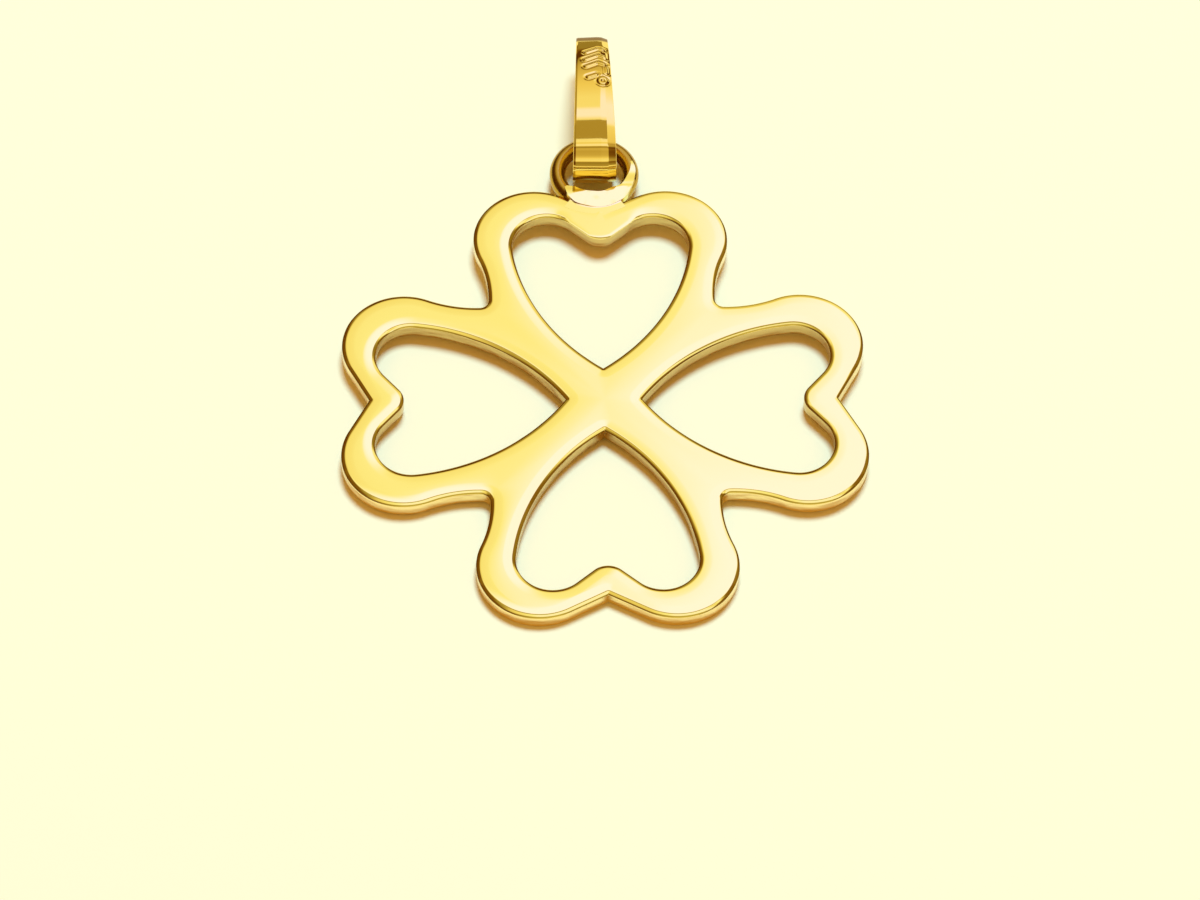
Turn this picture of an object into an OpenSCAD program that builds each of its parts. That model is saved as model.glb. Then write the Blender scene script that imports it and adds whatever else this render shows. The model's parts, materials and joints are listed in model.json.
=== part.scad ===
// Four leaf clover pendant: an open plate of four leaves, a ring soldered to one leaf and a flat strap bail.
// Millimetres. The pendant lies on the XY plane as it does on a table: the leaf away from the ring touches it, and
// the strap of the bail lifts the ring a little. The origin is under the middle of it all, and +Y runs to the bail.

/* [Clover plate] */
// Thickness of the plate
plate_t = 0.6; // [0.5:0.02:1]
// Distance from the clover's centre to the end of each leaf
leaf_out = 10.17; // [9.8:0.01:10.5]
// Depth of the notch at the end of each leaf
notch_depth = 1.07; // [0.6:0.01:1.3]
// Radius of the round lobes of a leaf
lobe_r = 2.42; // [2.2:0.02:2.6]
// Distance from the leaf's middle line to each lobe's centre
lobe_side = 2.6; // [2.45:0.05:2.8]
// Distance from the clover's centre to the valley between two leaves
valley_out = 6.43; // [6.2:0.05:6.6]
// Radius of the fillet in each valley
valley_r = 0.35; // [0.2:0.05:0.6]
// Radius of the hollow flank between a lobe and the valley
flank_r = 5.0; // [4:0.1:8]

/* [Heart openings] */
// Distance from the clover's centre to the point of each heart
heart_tip = 1.5; // [1.2:0.05:1.8]
// Angle between the leaf's middle line and the heart's side at its point
heart_angle = 55; // [51:1:58]
// Radius of the round lobes of a heart
heart_r = 1.39; // [1.25:0.01:1.5]
// Width of metal beyond a heart, at the end of the leaf
rim_end = 1.33; // [1.1:0.01:1.6]
// Width of metal beside a heart
rim_side = 1.53; // [1.3:0.01:1.7]
// Width of metal between the notch and the heart's cleft
rim_notch = 1.36; // [1.1:0.02:1.6]
// Radius of the rounded cleft between the heart's lobes
cleft_r = 0.8; // [0.4:0.05:0.9]

/* [Ring] */
// Diameter of the ring's wire
ring_wire = 0.64; // [0.5:0.02:0.8]
// Inside diameter of the ring
ring_in = 2.28; // [2.2:0.02:2.6]
// Distance that the ring's middle stands to one side of the notch, as soldered
ring_side = -0.18; // [-0.3:0.02:0.3]
// Distance that the ring's wire is soldered below the middle of the plate's thickness
ring_drop = 0.06; // [0:0.01:0.12]
// Depth of solder between the notch and the ring
solder_depth = 0.34; // [0.1:0.02:0.5]
// Width of the solder bed
solder_w = 2.5; // [1.8:0.1:2.8]
// Height of the solder bed's foot above the plate's underside
solder_foot = 0.1; // [0.04:0.02:0.2]
// Depth of the solder bed's top below the plate's top face
solder_drop = 0.06; // [0.02:0.02:0.12]

/* [Bail] */
// Thickness of the strap
strap_t = 0.3; // [0.2:0.02:0.4]
// Width of the strap where it passes through the ring
strap_w_nose = 1.74; // [1.2:0.02:1.9]
// Width of the strap at the end away from the ring
strap_w_far = 1.24; // [1:0.02:1.6]
// Inner radius of the loop at the end in the ring
nose_r = 0.9; // [0.7:0.02:1]
// Inner radius of the loop at the end away from the ring
far_r = 0.3; // [0.2:0.02:0.5]
// Distance between the centres of the loop's two ends
bail_l = 5.2; // [4.6:0.1:5.8]
// Outer radius of the loop's long top curve
crown_r = 7.8; // [6:0.1:12]
// Outer radius of the loop's long underside
belly_r = 7.0; // [6:0.1:12]
// Distance from the centre of the nose to where the underside touches the table
rest_at = 1.8; // [1.4:0.05:2.2]
// Distance that the loop's nose reaches past the ring's centre, towards the clover
nose_reach = 0.75; // [0.5:0.05:0.8]
// Gap between the strap and the ring's wire above it
gap = 0.06; // [0.04:0.01:0.12]

/* [Hidden] */
$fn = 96;

GOLD = [0.90, 0.74, 0.36];
BAIL_GOLD = [0.84, 0.66, 0.28];
LEAVES = 4;
LEAF_TURN = 360 / LEAVES;
// Share of the largest cleft radius that a heart's lobes leave room for
ROOM = 0.98;
// How far smooth joints sink into each other, so that their arcs cross instead of only touching
HAIR = 0.0002;

// Distances from the clover's centre, along a leaf
notch_out = leaf_out - notch_depth;
lobe_out = leaf_out - lobe_r;

// The ring, above the plate's underside
ring_z = plate_t / 2 - ring_drop;
ring_bore_r = ring_in / 2;
ring_mid_r = ring_bore_r + ring_wire / 2;
ring_out_r = ring_bore_r + ring_wire;
ring_y = notch_out + solder_depth + ring_out_r;

// The bail's loop, outside its strap, seen from its side with the nose's centre at x = 0 and the table at y = 0
nose_out_r = nose_r + strap_t;
far_out_r = far_r + strap_t;
belly = [rest_at, belly_r];
nose = [0, belly_r - sqrt(pow(belly_r - nose_out_r, 2) - pow(rest_at, 2))];
far = [bail_l, belly_r - sqrt(pow(belly_r - far_out_r, 2) - pow(bail_l - rest_at, 2))];

// The plate leans until the far side of the ring has room for the strap under its wire
wire_at = ring_mid_r + nose_reach - nose_out_r;
wire_up = belly_r - sqrt(pow(belly_r - strap_t - gap - ring_wire / 2, 2) - pow(wire_at - rest_at, 2));
wire_out = leaf_out + ring_y + ring_mid_r;
lean = max(0, asin(wire_up / norm([wire_out, ring_z])) - atan2(ring_z, wire_out));
ring_laid_y = (leaf_out + ring_y) * cos(lean) - ring_z * sin(lean) - leaf_out;
nose_y = ring_laid_y - nose_reach + nose_out_r;

// The middle of the whole pendant's length, from the front leaf's top edge to the bail's far end
middle_y = (nose_y + bail_l + far_out_r - leaf_out - plate_t * sin(lean)) / 2;

function unit(v) = v / norm(v);
function left_of(v) = [-v[1], v[0]];
function across_x(p) = [-p[0], p[1]];
function across_diagonal(p) = [p[1], p[0]];

// The point a from p and b from q, on the left of the way from p to q
function meet(p, a, q, b) =
    let (d = norm(q - p), e = (q - p) / d, h = (a * a - b * b + d * d) / (2 * d))
    p + h * e + sqrt(a * a - h * h) * left_of(e);

// Where a line from p touches the circle of radius r about c, on the left of the way from p to c
function touch(p, c, r) =
    let (d = norm(c - p), e = (c - p) / d, k = r / d)
    c + (r - HAIR) * (sqrt(1 - k * k) * left_of(e) - k * e);

// The way from the centre c to where its circle of radius r meets a line that crosses over and touches the
// circle of radius s about q, on the right of the way from c to q
function cross_way(c, r, q, s) =
    let (e = (q - c) / norm(q - c), k = (r + s) / norm(q - c))
    k * e - sqrt(1 - k * k) * left_of(e);

module both_sides() {
    children();
    mirror([1, 0]) children();
}

module disc(centre, r) {
    translate(centre) circle(r);
}

module each_leaf() {
    for (k = [0 : LEAVES - 1]) rotate(-k * LEAF_TURN) children();
}

// Points of one leaf, which runs along +Y: the notch, a lobe's centre, and the centres of the flank's hollow
// and of the valley's fillet beside it
notch = [0, notch_out];
lobe = [lobe_side, lobe_out];
fillet = (valley_out + valley_r) * unit([1, 1]);
flank = meet(lobe, lobe_r + flank_r - HAIR, fillet, flank_r - valley_r);
flank_end = flank + flank_r * unit(fillet - flank);

// The leaf with the space beside it filled as far as the next leaf's filling
module leaf_blank() {
    beside = lobe + (lobe_r + valley_r) * unit(flank - lobe);
    lobe_start = touch(notch, lobe, lobe_r);
    both_sides() {
        disc(lobe, lobe_r);
        polygon([[0, 0], notch, lobe_start, lobe, beside, fillet]);
    }
}

// The space between two leaves: what the flanks' two hollows share, with a round end at the valley
module valley() {
    reach = 2 * flank_r;
    intersection() {
        disc(flank, flank_r);
        disc(across_diagonal(flank), flank_r);
        polygon([flank_end, flank_end + [0, reach], flank_end + [reach, reach], flank_end + [reach, 0],
                 across_diagonal(flank_end)]);
    }
    disc(fillet, valley_r + HAIR);
}

// A heart along +Y: the space that its two side arcs share up to the lobes, the lobes, and the cleft
module heart() {
    tip = [0, heart_tip];
    cleft = [0, notch_out - rim_notch];
    round = lobe + [lobe_r - rim_side - heart_r, lobe_r - rim_end - heart_r];
    inward = [-cos(heart_angle), sin(heart_angle)];
    span = round - tip;
    side_r = (span * span - heart_r * heart_r) / (2 * (inward * span - heart_r));
    side = tip + side_r * inward;
    shoulder = side + side_r * unit(round - side);

    rise = cleft[1] - round[1];
    widest_cleft_r = (round[0] * round[0] + rise * rise - heart_r * heart_r) / (2 * (heart_r - rise));
    crest_r = min(cleft_r, ROOM * widest_cleft_r);
    crest = cleft + [0, crest_r];
    way = cross_way(crest, crest_r, round, heart_r);

    intersection() {
        disc(side, side_r);
        disc(across_x(side), side_r);
        translate([-side_r, 0]) square([2 * side_r, shoulder[1]]);
    }
    both_sides() disc(round, heart_r + HAIR);
    difference() {
        both_sides() polygon([
            [0, tip[1]],
            round,
            round - heart_r * way,
            crest + (crest_r - HAIR) * way,
            crest
        ]);
        disc(crest, crest_r);
    }
}

module plate() {
    linear_extrude(plate_t) difference() {
        each_leaf() leaf_blank();
        each_leaf() valley();
        each_leaf() heart();
    }
}

module wire_ring() {
    translate([ring_side, ring_y, ring_z])
        rotate_extrude() translate([ring_mid_r, 0]) circle(ring_wire / 2);
}

// The bed of solder fills the notch under the ring and stays out of the ring's bore
module solder_bed() {
    bed_r = ring_out_r + solder_depth;
    translate([ring_side, ring_y, solder_foot])
        linear_extrude(plate_t - solder_drop - solder_foot) difference() {
            intersection() {
                circle(bed_r);
                translate([-solder_w / 2, -2 * bed_r]) square([solder_w, 2 * bed_r - ring_bore_r / 2]);
            }
            circle(ring_mid_r);
        }
}

// Turns what is drawn on the level about the end of the leaf that touches the table
module leaning() {
    translate([0, -leaf_out, 0]) rotate([lean, 0, 0]) translate([0, leaf_out, 0]) children();
}

module clover() {
    color(GOLD) translate([0, -middle_y, 0]) leaning() {
        plate();
        wire_ring();
        solder_bed();
    }
}

// The bail's loop seen from its side, inset by a distance
module loop(inset) {
    crown = meet(far, crown_r - far_out_r, nose, crown_r - nose_out_r);
    disc(nose, nose_out_r - inset);
    disc(far, far_out_r - inset);
    intersection() {
        disc(crown, crown_r - inset - HAIR);
        disc(belly, belly_r - inset - HAIR);
        polygon([
            nose + nose_out_r * unit(nose - belly),
            nose,
            nose + nose_out_r * unit(nose - crown),
            [rest_at, 2 * crown_r],
            far + far_out_r * unit(far - crown),
            far,
            far + far_out_r * unit(far - belly),
            [rest_at, -belly_r]
        ]);
    }
}

// The strap's outline from above, from its nose to its far end
module strap_plan() {
    finish = bail_l + far_out_r;
    polygon([
        [strap_w_nose / 2, -nose_out_r],
        [strap_w_far / 2, finish],
        [-strap_w_far / 2, finish],
        [-strap_w_nose / 2, -nose_out_r]
    ]);
}

module bail() {
    color(BAIL_GOLD) translate([ring_side, nose_y - middle_y, 0]) intersection() {
        rotate([90, 0, 90]) translate([0, 0, -strap_w_nose]) linear_extrude(2 * strap_w_nose) difference() {
            loop(0);
            loop(strap_t);
        }
        linear_extrude(crown_r) strap_plan();
    }
}

clover();
bail();
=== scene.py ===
# %% [markdown]
# # A four leaf clover pendant in polished gold
#
# The real thing is a flat plate, pierced and filed from sheet, with a heart sawn out of each leaf.
# A ring of round wire is soldered into the notch of one leaf, and a flat strap, bent to a loop,
# hangs in the ring as the bail that takes the chain. The pendant lies on a pale table.
#
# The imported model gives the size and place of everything. Gold that is polished to a mirror shows
# its form only through what it reflects, so this lesson puts its work into two things: edges that
# are rolled the way a polishing mop rolls them, and a studio that is worth reflecting.

import json
import math
from collections import namedtuple

import bmesh
import bpy
import numpy as np
from mathutils import Matrix, Vector

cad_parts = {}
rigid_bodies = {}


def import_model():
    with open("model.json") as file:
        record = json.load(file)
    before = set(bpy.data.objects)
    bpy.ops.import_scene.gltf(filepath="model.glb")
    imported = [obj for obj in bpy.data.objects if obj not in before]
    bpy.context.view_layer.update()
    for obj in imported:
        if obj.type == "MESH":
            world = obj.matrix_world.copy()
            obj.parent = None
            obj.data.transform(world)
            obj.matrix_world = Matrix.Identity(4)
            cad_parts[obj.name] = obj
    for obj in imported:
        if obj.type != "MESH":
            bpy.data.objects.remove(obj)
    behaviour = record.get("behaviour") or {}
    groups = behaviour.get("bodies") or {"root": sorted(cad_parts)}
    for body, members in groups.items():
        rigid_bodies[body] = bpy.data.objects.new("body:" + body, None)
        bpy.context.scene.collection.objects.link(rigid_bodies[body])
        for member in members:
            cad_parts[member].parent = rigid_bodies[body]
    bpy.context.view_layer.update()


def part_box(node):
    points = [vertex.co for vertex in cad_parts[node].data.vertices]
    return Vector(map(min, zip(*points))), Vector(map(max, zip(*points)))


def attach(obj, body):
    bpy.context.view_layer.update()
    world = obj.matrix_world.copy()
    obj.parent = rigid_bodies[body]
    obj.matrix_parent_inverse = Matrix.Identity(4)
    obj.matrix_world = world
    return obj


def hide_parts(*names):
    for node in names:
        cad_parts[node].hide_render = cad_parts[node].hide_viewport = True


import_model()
scene = bpy.context.scene
MM = 0.001

plate_low, plate_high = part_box("clover")
bail_low, bail_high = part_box("bail")
leaf_out = plate_high.x / MM
print(f"clover {2 * leaf_out:.2f} mm across, bail to y = {bail_high.y / MM:.2f} mm")

# %% [markdown]
# ## How the pendant lies
#
# The strap of the bail lies under the ring and lifts it, so the plate leans by a little more than a
# degree on the tip of the leaf in front. The plate is modelled on the level, with the clover's
# centre at the origin and its underside at zero, and one matrix then lays it down. The camera was
# found from the plate, so the same matrix lays the camera too.

# %% Lay the plate down
PLATE_T = 0.6
LEAN = math.radians(1.228)

front_y = plate_low.y + PLATE_T * math.sin(LEAN) * MM
tip_to_origin = Matrix.Translation((0, leaf_out * MM, 0))
lay = Matrix.Translation((0, front_y, 0)) @ Matrix.Rotation(LEAN, 4, "X") @ tip_to_origin
print(f"the clover's centre lies {lay.translation.z / MM:.2f} mm up, at y = {lay.translation.y / MM:.2f} mm")

# %% [markdown]
# ## The camera
#
# The view is a long lens from well above, as for a catalogue picture. It was found by fitting the
# clover's outline with its four leaves taken as equal. It is written as an azimuth, an elevation, a
# distance and a small roll, because those are the numbers that a photographer would set.

# %% Set up the camera
SENSOR_WIDTH = 36.0
FOCAL_PIXELS = 5819.0
PICTURE_WIDTH = 1200.0
CLIP_START, CLIP_END = 0.005, 10.0
AZIMUTH, ELEVATION, ROLL = math.radians(-2.5), math.radians(54.9), math.radians(1.75)
DISTANCE = 223.8 * MM
TARGET = Vector((-0.204, -2.445, PLATE_T)) * MM

ahead = Vector((
    -math.sin(AZIMUTH) * math.cos(ELEVATION),
    math.cos(AZIMUTH) * math.cos(ELEVATION),
    -math.sin(ELEVATION),
))
level = Vector((math.cos(AZIMUTH), math.sin(AZIMUTH), 0))
upright = level.cross(ahead)
right = math.cos(ROLL) * level + math.sin(ROLL) * upright
up = math.cos(ROLL) * upright - math.sin(ROLL) * level

lens = bpy.data.cameras.new("camera")
lens.sensor_width = SENSOR_WIDTH
lens.lens = FOCAL_PIXELS * SENSOR_WIDTH / PICTURE_WIDTH
lens.clip_start, lens.clip_end = CLIP_START, CLIP_END
camera = bpy.data.objects.new("camera", lens)
turned = Matrix((right, up, -ahead)).transposed().to_4x4()
camera.matrix_world = lay @ Matrix.Translation(TARGET - DISTANCE * ahead) @ turned
scene.collection.objects.link(camera)
bpy.context.scene.camera = camera
scene.view_settings.view_transform = "Standard"
print(f"lens {lens.lens:.1f} mm, camera at {[round(v / MM, 1) for v in camera.location]} mm")

# %% [markdown]
# ## Two small helpers
#
# Colours are written as the hex values that a colour picker shows, and shaders want them linear, so
# one function turns one into the other. The second adds a node with its settings and its links, for
# materials, the studio and Geometry Nodes alike.


# %% Helpers for colours and nodes
def linear(hex_colour):
    """The linear RGB of an sRGB hex colour such as #FFE08A."""
    parts = [int(hex_colour[k:k + 2], 16) / 255 for k in (1, 3, 5)]
    return tuple(c / 12.92 if c <= 0.04045 else ((c + 0.055) / 1.055) ** 2.4 for c in parts)


def add(tree, kind, settings=None, **inputs):
    """Adds a node. Inputs go by name or number (i0) and take a value, a socket or a node's first output."""
    node = tree.nodes.new(kind)
    for name, value in (settings or {}).items():
        setattr(node, name, value)
    for name, value in inputs.items():
        if name[0] == "i" and name[1:].isdigit():
            socket = node.inputs[int(name[1:])]
        else:
            socket = next(s for s in node.inputs if s.name == name.replace("_", " ") and s.enabled)
        if isinstance(value, bpy.types.Node):
            value = value.outputs[0]
        if isinstance(value, bpy.types.NodeSocket):
            tree.links.new(value, socket)
        else:
            socket.default_value = value
    return node


print("gold", [round(c, 3) for c in linear("#FFEC89")])

# %% [markdown]
# ## The table and its lamp
#
# The table is plain pale card. A lamp high behind the pendant and a little to the right, cool and
# soft, gives it light and throws the short shadows forward. The lamp is kept out of reflections,
# because the gold has a room of its own to reflect.

# %% Lay the table
TABLE_SIZE = 1.2
TABLE_COLOUR = "#FAF9D9"
TABLE_ROUGHNESS, TABLE_SHEEN = 0.9, 0.1

half = TABLE_SIZE / 2
table_mesh = bpy.data.meshes.new("table")
corners = [(-half, -half, 0), (half, -half, 0), (half, half, 0), (-half, half, 0)]
table_mesh.from_pydata(corners, [], [(0, 1, 2, 3)])
table = bpy.data.objects.new("table", table_mesh)
scene.collection.objects.link(table)

card = bpy.data.materials.new("matt pale card")
card.use_nodes = True
card_shader = card.node_tree.nodes["Principled BSDF"]
card_shader.inputs["Base Color"].default_value = (*linear(TABLE_COLOUR), 1)
card_shader.inputs["Roughness"].default_value = TABLE_ROUGHNESS
card_shader.inputs["Specular IOR Level"].default_value = TABLE_SHEEN
table_mesh.materials.append(card)
print(f"table {TABLE_SIZE} m wide, of {card.name}")

# %% Light the table
LAMP_DIRECTION = Vector((0.08, 0.37, 1.0)).normalized()
LAMP_DISTANCE = 0.90
LAMP_SIZE = 0.34
LAMP_POWER = 8.5
LAMP_COLOUR = (0.515, 0.814, 1.0)

lamp_data = bpy.data.lights.new("soft lamp", "AREA")
lamp_data.shape = "DISK"
lamp_data.size = LAMP_SIZE
lamp_data.energy = LAMP_POWER
lamp_data.color = LAMP_COLOUR
lamp = bpy.data.objects.new("soft lamp", lamp_data)
lamp.location = LAMP_DIRECTION * LAMP_DISTANCE
lamp.rotation_euler = LAMP_DIRECTION.to_track_quat("Z", "Y").to_euler()
lamp.visible_glossy = False
scene.collection.objects.link(lamp)
print(f"lamp at {[round(v, 3) for v in lamp.location]} m")

# %% [markdown]
# ## The room that the gold reflects
#
# Polished gold needs something to look at. A jeweller's photographer stands it under one soft
# panel with the dark room left around it, and the bright face, the dark line along each edge and
# the bands on the bail are all pictures of that panel. Here the room is a list of brightness by
# angle from the plate's upright: positive angles lean towards the viewer, and -90 is the horizon
# behind. A second list says how the panel fades to the sides. A flag, which is a small dark card
# hung in front of the panel, is the dark bar across the bail.
#
# The room is painted into the world's shader, by the way that a reflected ray goes. The camera
# itself sees a plain backdrop there, and the table takes a warm light from it into its shadows.

# %% List the bands of the room
# Angle towards the viewer in degrees, brightness
ROOM_FRONT_TO_BACK = [
    (-180, 0.20), (-92, 0.30), (-83, 0.30), (-79, 0.10), (-73, 0.08), (-70.5, 0.36), (-66, 0.54),
    (-54, 0.74), (-44, 0.88), (-38, 1.00), (-6, 1.06), (-4, 0.84), (-2, 0.80), (1, 1.10), (9, 1.10),
    (11, 0.42), (14, 0.34), (20, 0.62), (30, 0.53), (45, 0.58), (52, 0.70), (60, 0.98), (68, 1.00),
    (73, 0.28), (90, 0.45), (180, 0.30),
]
# Angle to the right in degrees, share of that brightness
ROOM_SIDE_TO_SIDE = [
    (-90, 0.08), (-45, 0.10), (-28, 0.16), (-19, 0.60), (-8, 0.84), (0, 1.0), (28, 1.0), (31.5, 0.18),
    (48, 0.15), (70, 0.14), (90, 0.12),
]
# Brightness, and the light's colour there: a photograph's highlights go pale and its darks go brown
ROOM_TONES = [
    (0.00, (0.020, 0.004, 0.000)), (0.10, (0.130, 0.045, 0.004)), (0.20, (0.26, 0.14, 0.02)),
    (0.30, (0.34, 0.26, 0.08)), (0.50, (0.56, 0.43, 0.16)), (0.80, (0.92, 0.80, 0.46)),
    (1.00, (1.00, 0.98, 0.84)), (1.30, (1.12, 1.12, 2.50)),
]
BRIGHTEST = ROOM_TONES[-1][0]
# The hot part of the panel starts on a slant, so many degrees further back for each one to the right
HOT_FROM, HOT_TO, HOT_SLANT = -37.0, -25.0, 2.6
# Further forward it is hot all the way across, until it ends
HOT_ACROSS_FROM, HOT_ACROSS_TO = -31.5, -28.0
HOT_END_FROM, HOT_END_TO = -25.0, -21.5
FLAG_FROM, FLAG_TO, FLAG_HALF_WIDTH = -21.5, -9.0, 17.0
FLAG_BRIGHTNESS = 0.40
FILL_COLOUR = (0.64, 0.30, 0.06)
BACKDROP_COLOUR = "#FFFEDC"

# %% Find the two angles of a reflected ray
world = bpy.data.worlds.new("studio")
world.use_nodes = True
scene.world = world
room = world.node_tree
room.nodes.clear()

way = add(room, "ShaderNodeTexCoord").outputs["Generated"]
axes = add(room, "ShaderNodeSeparateXYZ", Vector=way).outputs
towards_viewer = add(room, "ShaderNodeMath", {"operation": "MULTIPLY"}, i0=axes["Y"], i1=-1.0)
lean = add(room, "ShaderNodeMath", {"operation": "ARCTAN2"}, i0=towards_viewer, i1=axes["Z"])
lean = add(room, "ShaderNodeMath", {"operation": "DEGREES"}, i0=lean)
front_angle = add(room, "ShaderNodeMath", {"operation": "SUBTRACT"}, i0=lean, i1=math.degrees(LEAN))
aside = add(room, "ShaderNodeMath", {"operation": "ARCSINE"}, i0=axes["X"])
side_angle = add(room, "ShaderNodeMath", {"operation": "DEGREES"}, i0=aside)
print(f"the plate's upright leans {math.degrees(LEAN):.2f} degrees towards the viewer")


# %% Paint the panel
def read_bands(tree, value, bands, low, high):
    """What a list of bands says at a value from low to high. A band is a value and a grey or a colour."""
    share = add(tree, "ShaderNodeMapRange", Value=value, From_Min=low, From_Max=high)
    node = add(tree, "ShaderNodeValToRGB", Fac=share)
    elements = node.color_ramp.elements
    while len(elements) > 1:
        elements.remove(elements[-1])
    for k, (at, colour) in enumerate(bands):
        place = (at - low) / (high - low)
        element = elements[0] if k == 0 else elements.new(place)
        element.position = place
        element.color = (*colour, 1) if isinstance(colour, tuple) else (colour, colour, colour, 1)
    return node


soft = {"interpolation_type": "SMOOTHSTEP"}
leaning = add(room, "ShaderNodeMath", {"operation": "MULTIPLY_ADD"}, i0=side_angle, i1=HOT_SLANT,
              i2=front_angle)
hot = add(room, "ShaderNodeMapRange", soft, Value=leaning, From_Min=HOT_FROM, From_Max=HOT_TO,
          To_Min=1.0, To_Max=BRIGHTEST)
hot_across = add(room, "ShaderNodeMapRange", soft, Value=front_angle, From_Min=HOT_ACROSS_FROM,
                 From_Max=HOT_ACROSS_TO, To_Min=1.0, To_Max=BRIGHTEST)
hot = add(room, "ShaderNodeMath", {"operation": "MAXIMUM"}, i0=hot, i1=hot_across)
hot = add(room, "ShaderNodeMapRange", soft, Value=front_angle, From_Min=HOT_END_FROM,
          From_Max=HOT_END_TO, To_Min=hot, To_Max=1.0)
front_to_back = read_bands(room, front_angle, ROOM_FRONT_TO_BACK, -180, 180)
side_to_side = read_bands(room, side_angle, ROOM_SIDE_TO_SIDE, -90, 90)
bright = add(room, "ShaderNodeMath", {"operation": "MULTIPLY"}, i0=front_to_back, i1=side_to_side)
bright = add(room, "ShaderNodeMath", {"operation": "MULTIPLY"}, i0=bright, i1=hot)
print(f"room with {len(ROOM_FRONT_TO_BACK)} bands from front to back")

# %% Hang the flag in front of it, and choose what each ray meets
off_middle = add(room, "ShaderNodeMath", {"operation": "ABSOLUTE"}, i0=side_angle)
on_flag = 1.0
for angle, compared, limit in ((front_angle, "GREATER_THAN", FLAG_FROM), (front_angle, "LESS_THAN", FLAG_TO),
                               (off_middle, "LESS_THAN", FLAG_HALF_WIDTH)):
    within = add(room, "ShaderNodeMath", {"operation": compared}, i0=angle, i1=limit)
    on_flag = add(room, "ShaderNodeMath", {"operation": "MULTIPLY"}, i0=on_flag, i1=within)
bright = add(room, "ShaderNodeMapRange", Value=on_flag, To_Min=bright, To_Max=FLAG_BRIGHTNESS)

panel_light = add(room, "ShaderNodeBackground", Color=read_bands(room, bright, ROOM_TONES, 0.0, BRIGHTEST))
warm_fill = add(room, "ShaderNodeBackground", Color=(*FILL_COLOUR, 1))
backdrop = add(room, "ShaderNodeBackground", Color=(*linear(BACKDROP_COLOUR), 1))
ray = add(room, "ShaderNodeLightPath").outputs
met = add(room, "ShaderNodeMixShader", i0=ray["Is Diffuse Ray"], i1=panel_light, i2=warm_fill)
met = add(room, "ShaderNodeMixShader", i0=ray["Is Camera Ray"], i1=met, i2=backdrop)
add(room, "ShaderNodeOutputWorld", Surface=met)
world.cycles.sampling_method = "NONE"
print(f"flag {2 * FLAG_HALF_WIDTH:.0f} degrees wide, brightness {FLAG_BRIGHTNESS}")

# %% [markdown]
# ## The gold
#
# Both pieces are 14 karat yellow gold, finished on a polishing mop to a mirror. Gold is a metal, so
# its colour is all in its reflection, and its roughness is near zero. The sawn and filed walls are
# polished less well than the face, because a mop doesn't reach into corners: the `wall` attribute,
# 1 on walls and 0 on faces, makes them a little softer and drags fine file marks along them. It
# also paints them a paler, more orange gold: painted light and shade from the table they reflect.
# A second attribute, 1 on the ring, makes the gold rougher and paints it brown as painted shade. A
# third, 1 at the closed end of the bail, paints it deep brown as a painted dark reflection. The
# walls inside the hearts have a part of both, as painted shade in those hollows.

# %% Make the golds
FACE_GOLD = "#FFEC89"
BAIL_GOLD = "#FBDC72"
# Painted light: the walls' paler, more orange gold stands in for the lit and shaded table that they reflect
PAINTED_LIGHT_WALL_GOLD = "#FFE6A4"
# Painted shade: the brown painted on the ring, and in part on the heart walls
PAINTED_SHADE_GOLD = "#C59F3C"
# Painted dark reflection on the bail's closed end, and painted shade in part of the heart walls
PAINTED_DARK_GOLD = "#86611E"
FACE_ROUGHNESS, WALL_ROUGHNESS, DULL_ROUGHNESS = 0.045, 0.16, 0.24
# Width of a file mark in mm, its length as a multiple of that, its depth in mm and how clear it is
FILE_MARK, FILE_MARK_STRETCH, FILE_MARK_DEPTH, FILE_MARK_STRENGTH = 0.09, 7.0, 0.01, 0.8


def polished_gold(name, colour):
    """14 karat gold from the polishing mop, with walls, rougher places and painted shade where attributes
    say so.
    """
    gold = bpy.data.materials.new(name)
    gold.use_nodes = True
    tree = gold.node_tree
    shader = tree.nodes["Principled BSDF"]
    shader.inputs["Metallic"].default_value = 1.0
    wall, rough_shade, deep_shade = [add(tree, "ShaderNodeAttribute", {"attribute_name": word}).outputs["Fac"]
                         for word in ("wall", "rough_shade", "deep_shade")]
    tint = (*linear(colour), 1)
    # Each share mixes a painted light or shade colour over the gold's own
    for share, other in ((wall, PAINTED_LIGHT_WALL_GOLD), (rough_shade, PAINTED_SHADE_GOLD), (deep_shade, PAINTED_DARK_GOLD)):
        mix = add(tree, "ShaderNodeMix", {"data_type": "RGBA"}, Factor=share, A=tint, B=(*linear(other), 1))
        tint = next(socket for socket in mix.outputs if socket.enabled)
    tree.links.new(tint, shader.inputs["Base Color"])

    rough = add(tree, "ShaderNodeMapRange", Value=wall, To_Min=FACE_ROUGHNESS, To_Max=WALL_ROUGHNESS)
    rough = add(tree, "ShaderNodeMapRange", Value=rough_shade, To_Min=rough, To_Max=DULL_ROUGHNESS)
    tree.links.new(rough.outputs["Result"], shader.inputs["Roughness"])

    place = add(tree, "ShaderNodeTexCoord").outputs["Object"]
    along = add(tree, "ShaderNodeMapping", Vector=place, Scale=(1.0, 1.0, FILE_MARK_STRETCH))
    fineness = 1 / (FILE_MARK * FILE_MARK_STRETCH * MM)
    marks = add(tree, "ShaderNodeTexNoise", Vector=along, Scale=fineness, Detail=3.0).outputs["Fac"]
    height = add(tree, "ShaderNodeMath", {"operation": "MULTIPLY"}, i0=marks, i1=wall)
    bump = add(tree, "ShaderNodeBump", Strength=FILE_MARK_STRENGTH, Distance=FILE_MARK_DEPTH * MM,
               Height=height)
    tree.links.new(bump.outputs["Normal"], shader.inputs["Normal"])
    return gold


face_gold = polished_gold("mirror polished 14k yellow gold", FACE_GOLD)
bail_gold = polished_gold("mop polished 14k gold strap", BAIL_GOLD)
print(face_gold.name, "and", bail_gold.name)

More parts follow.
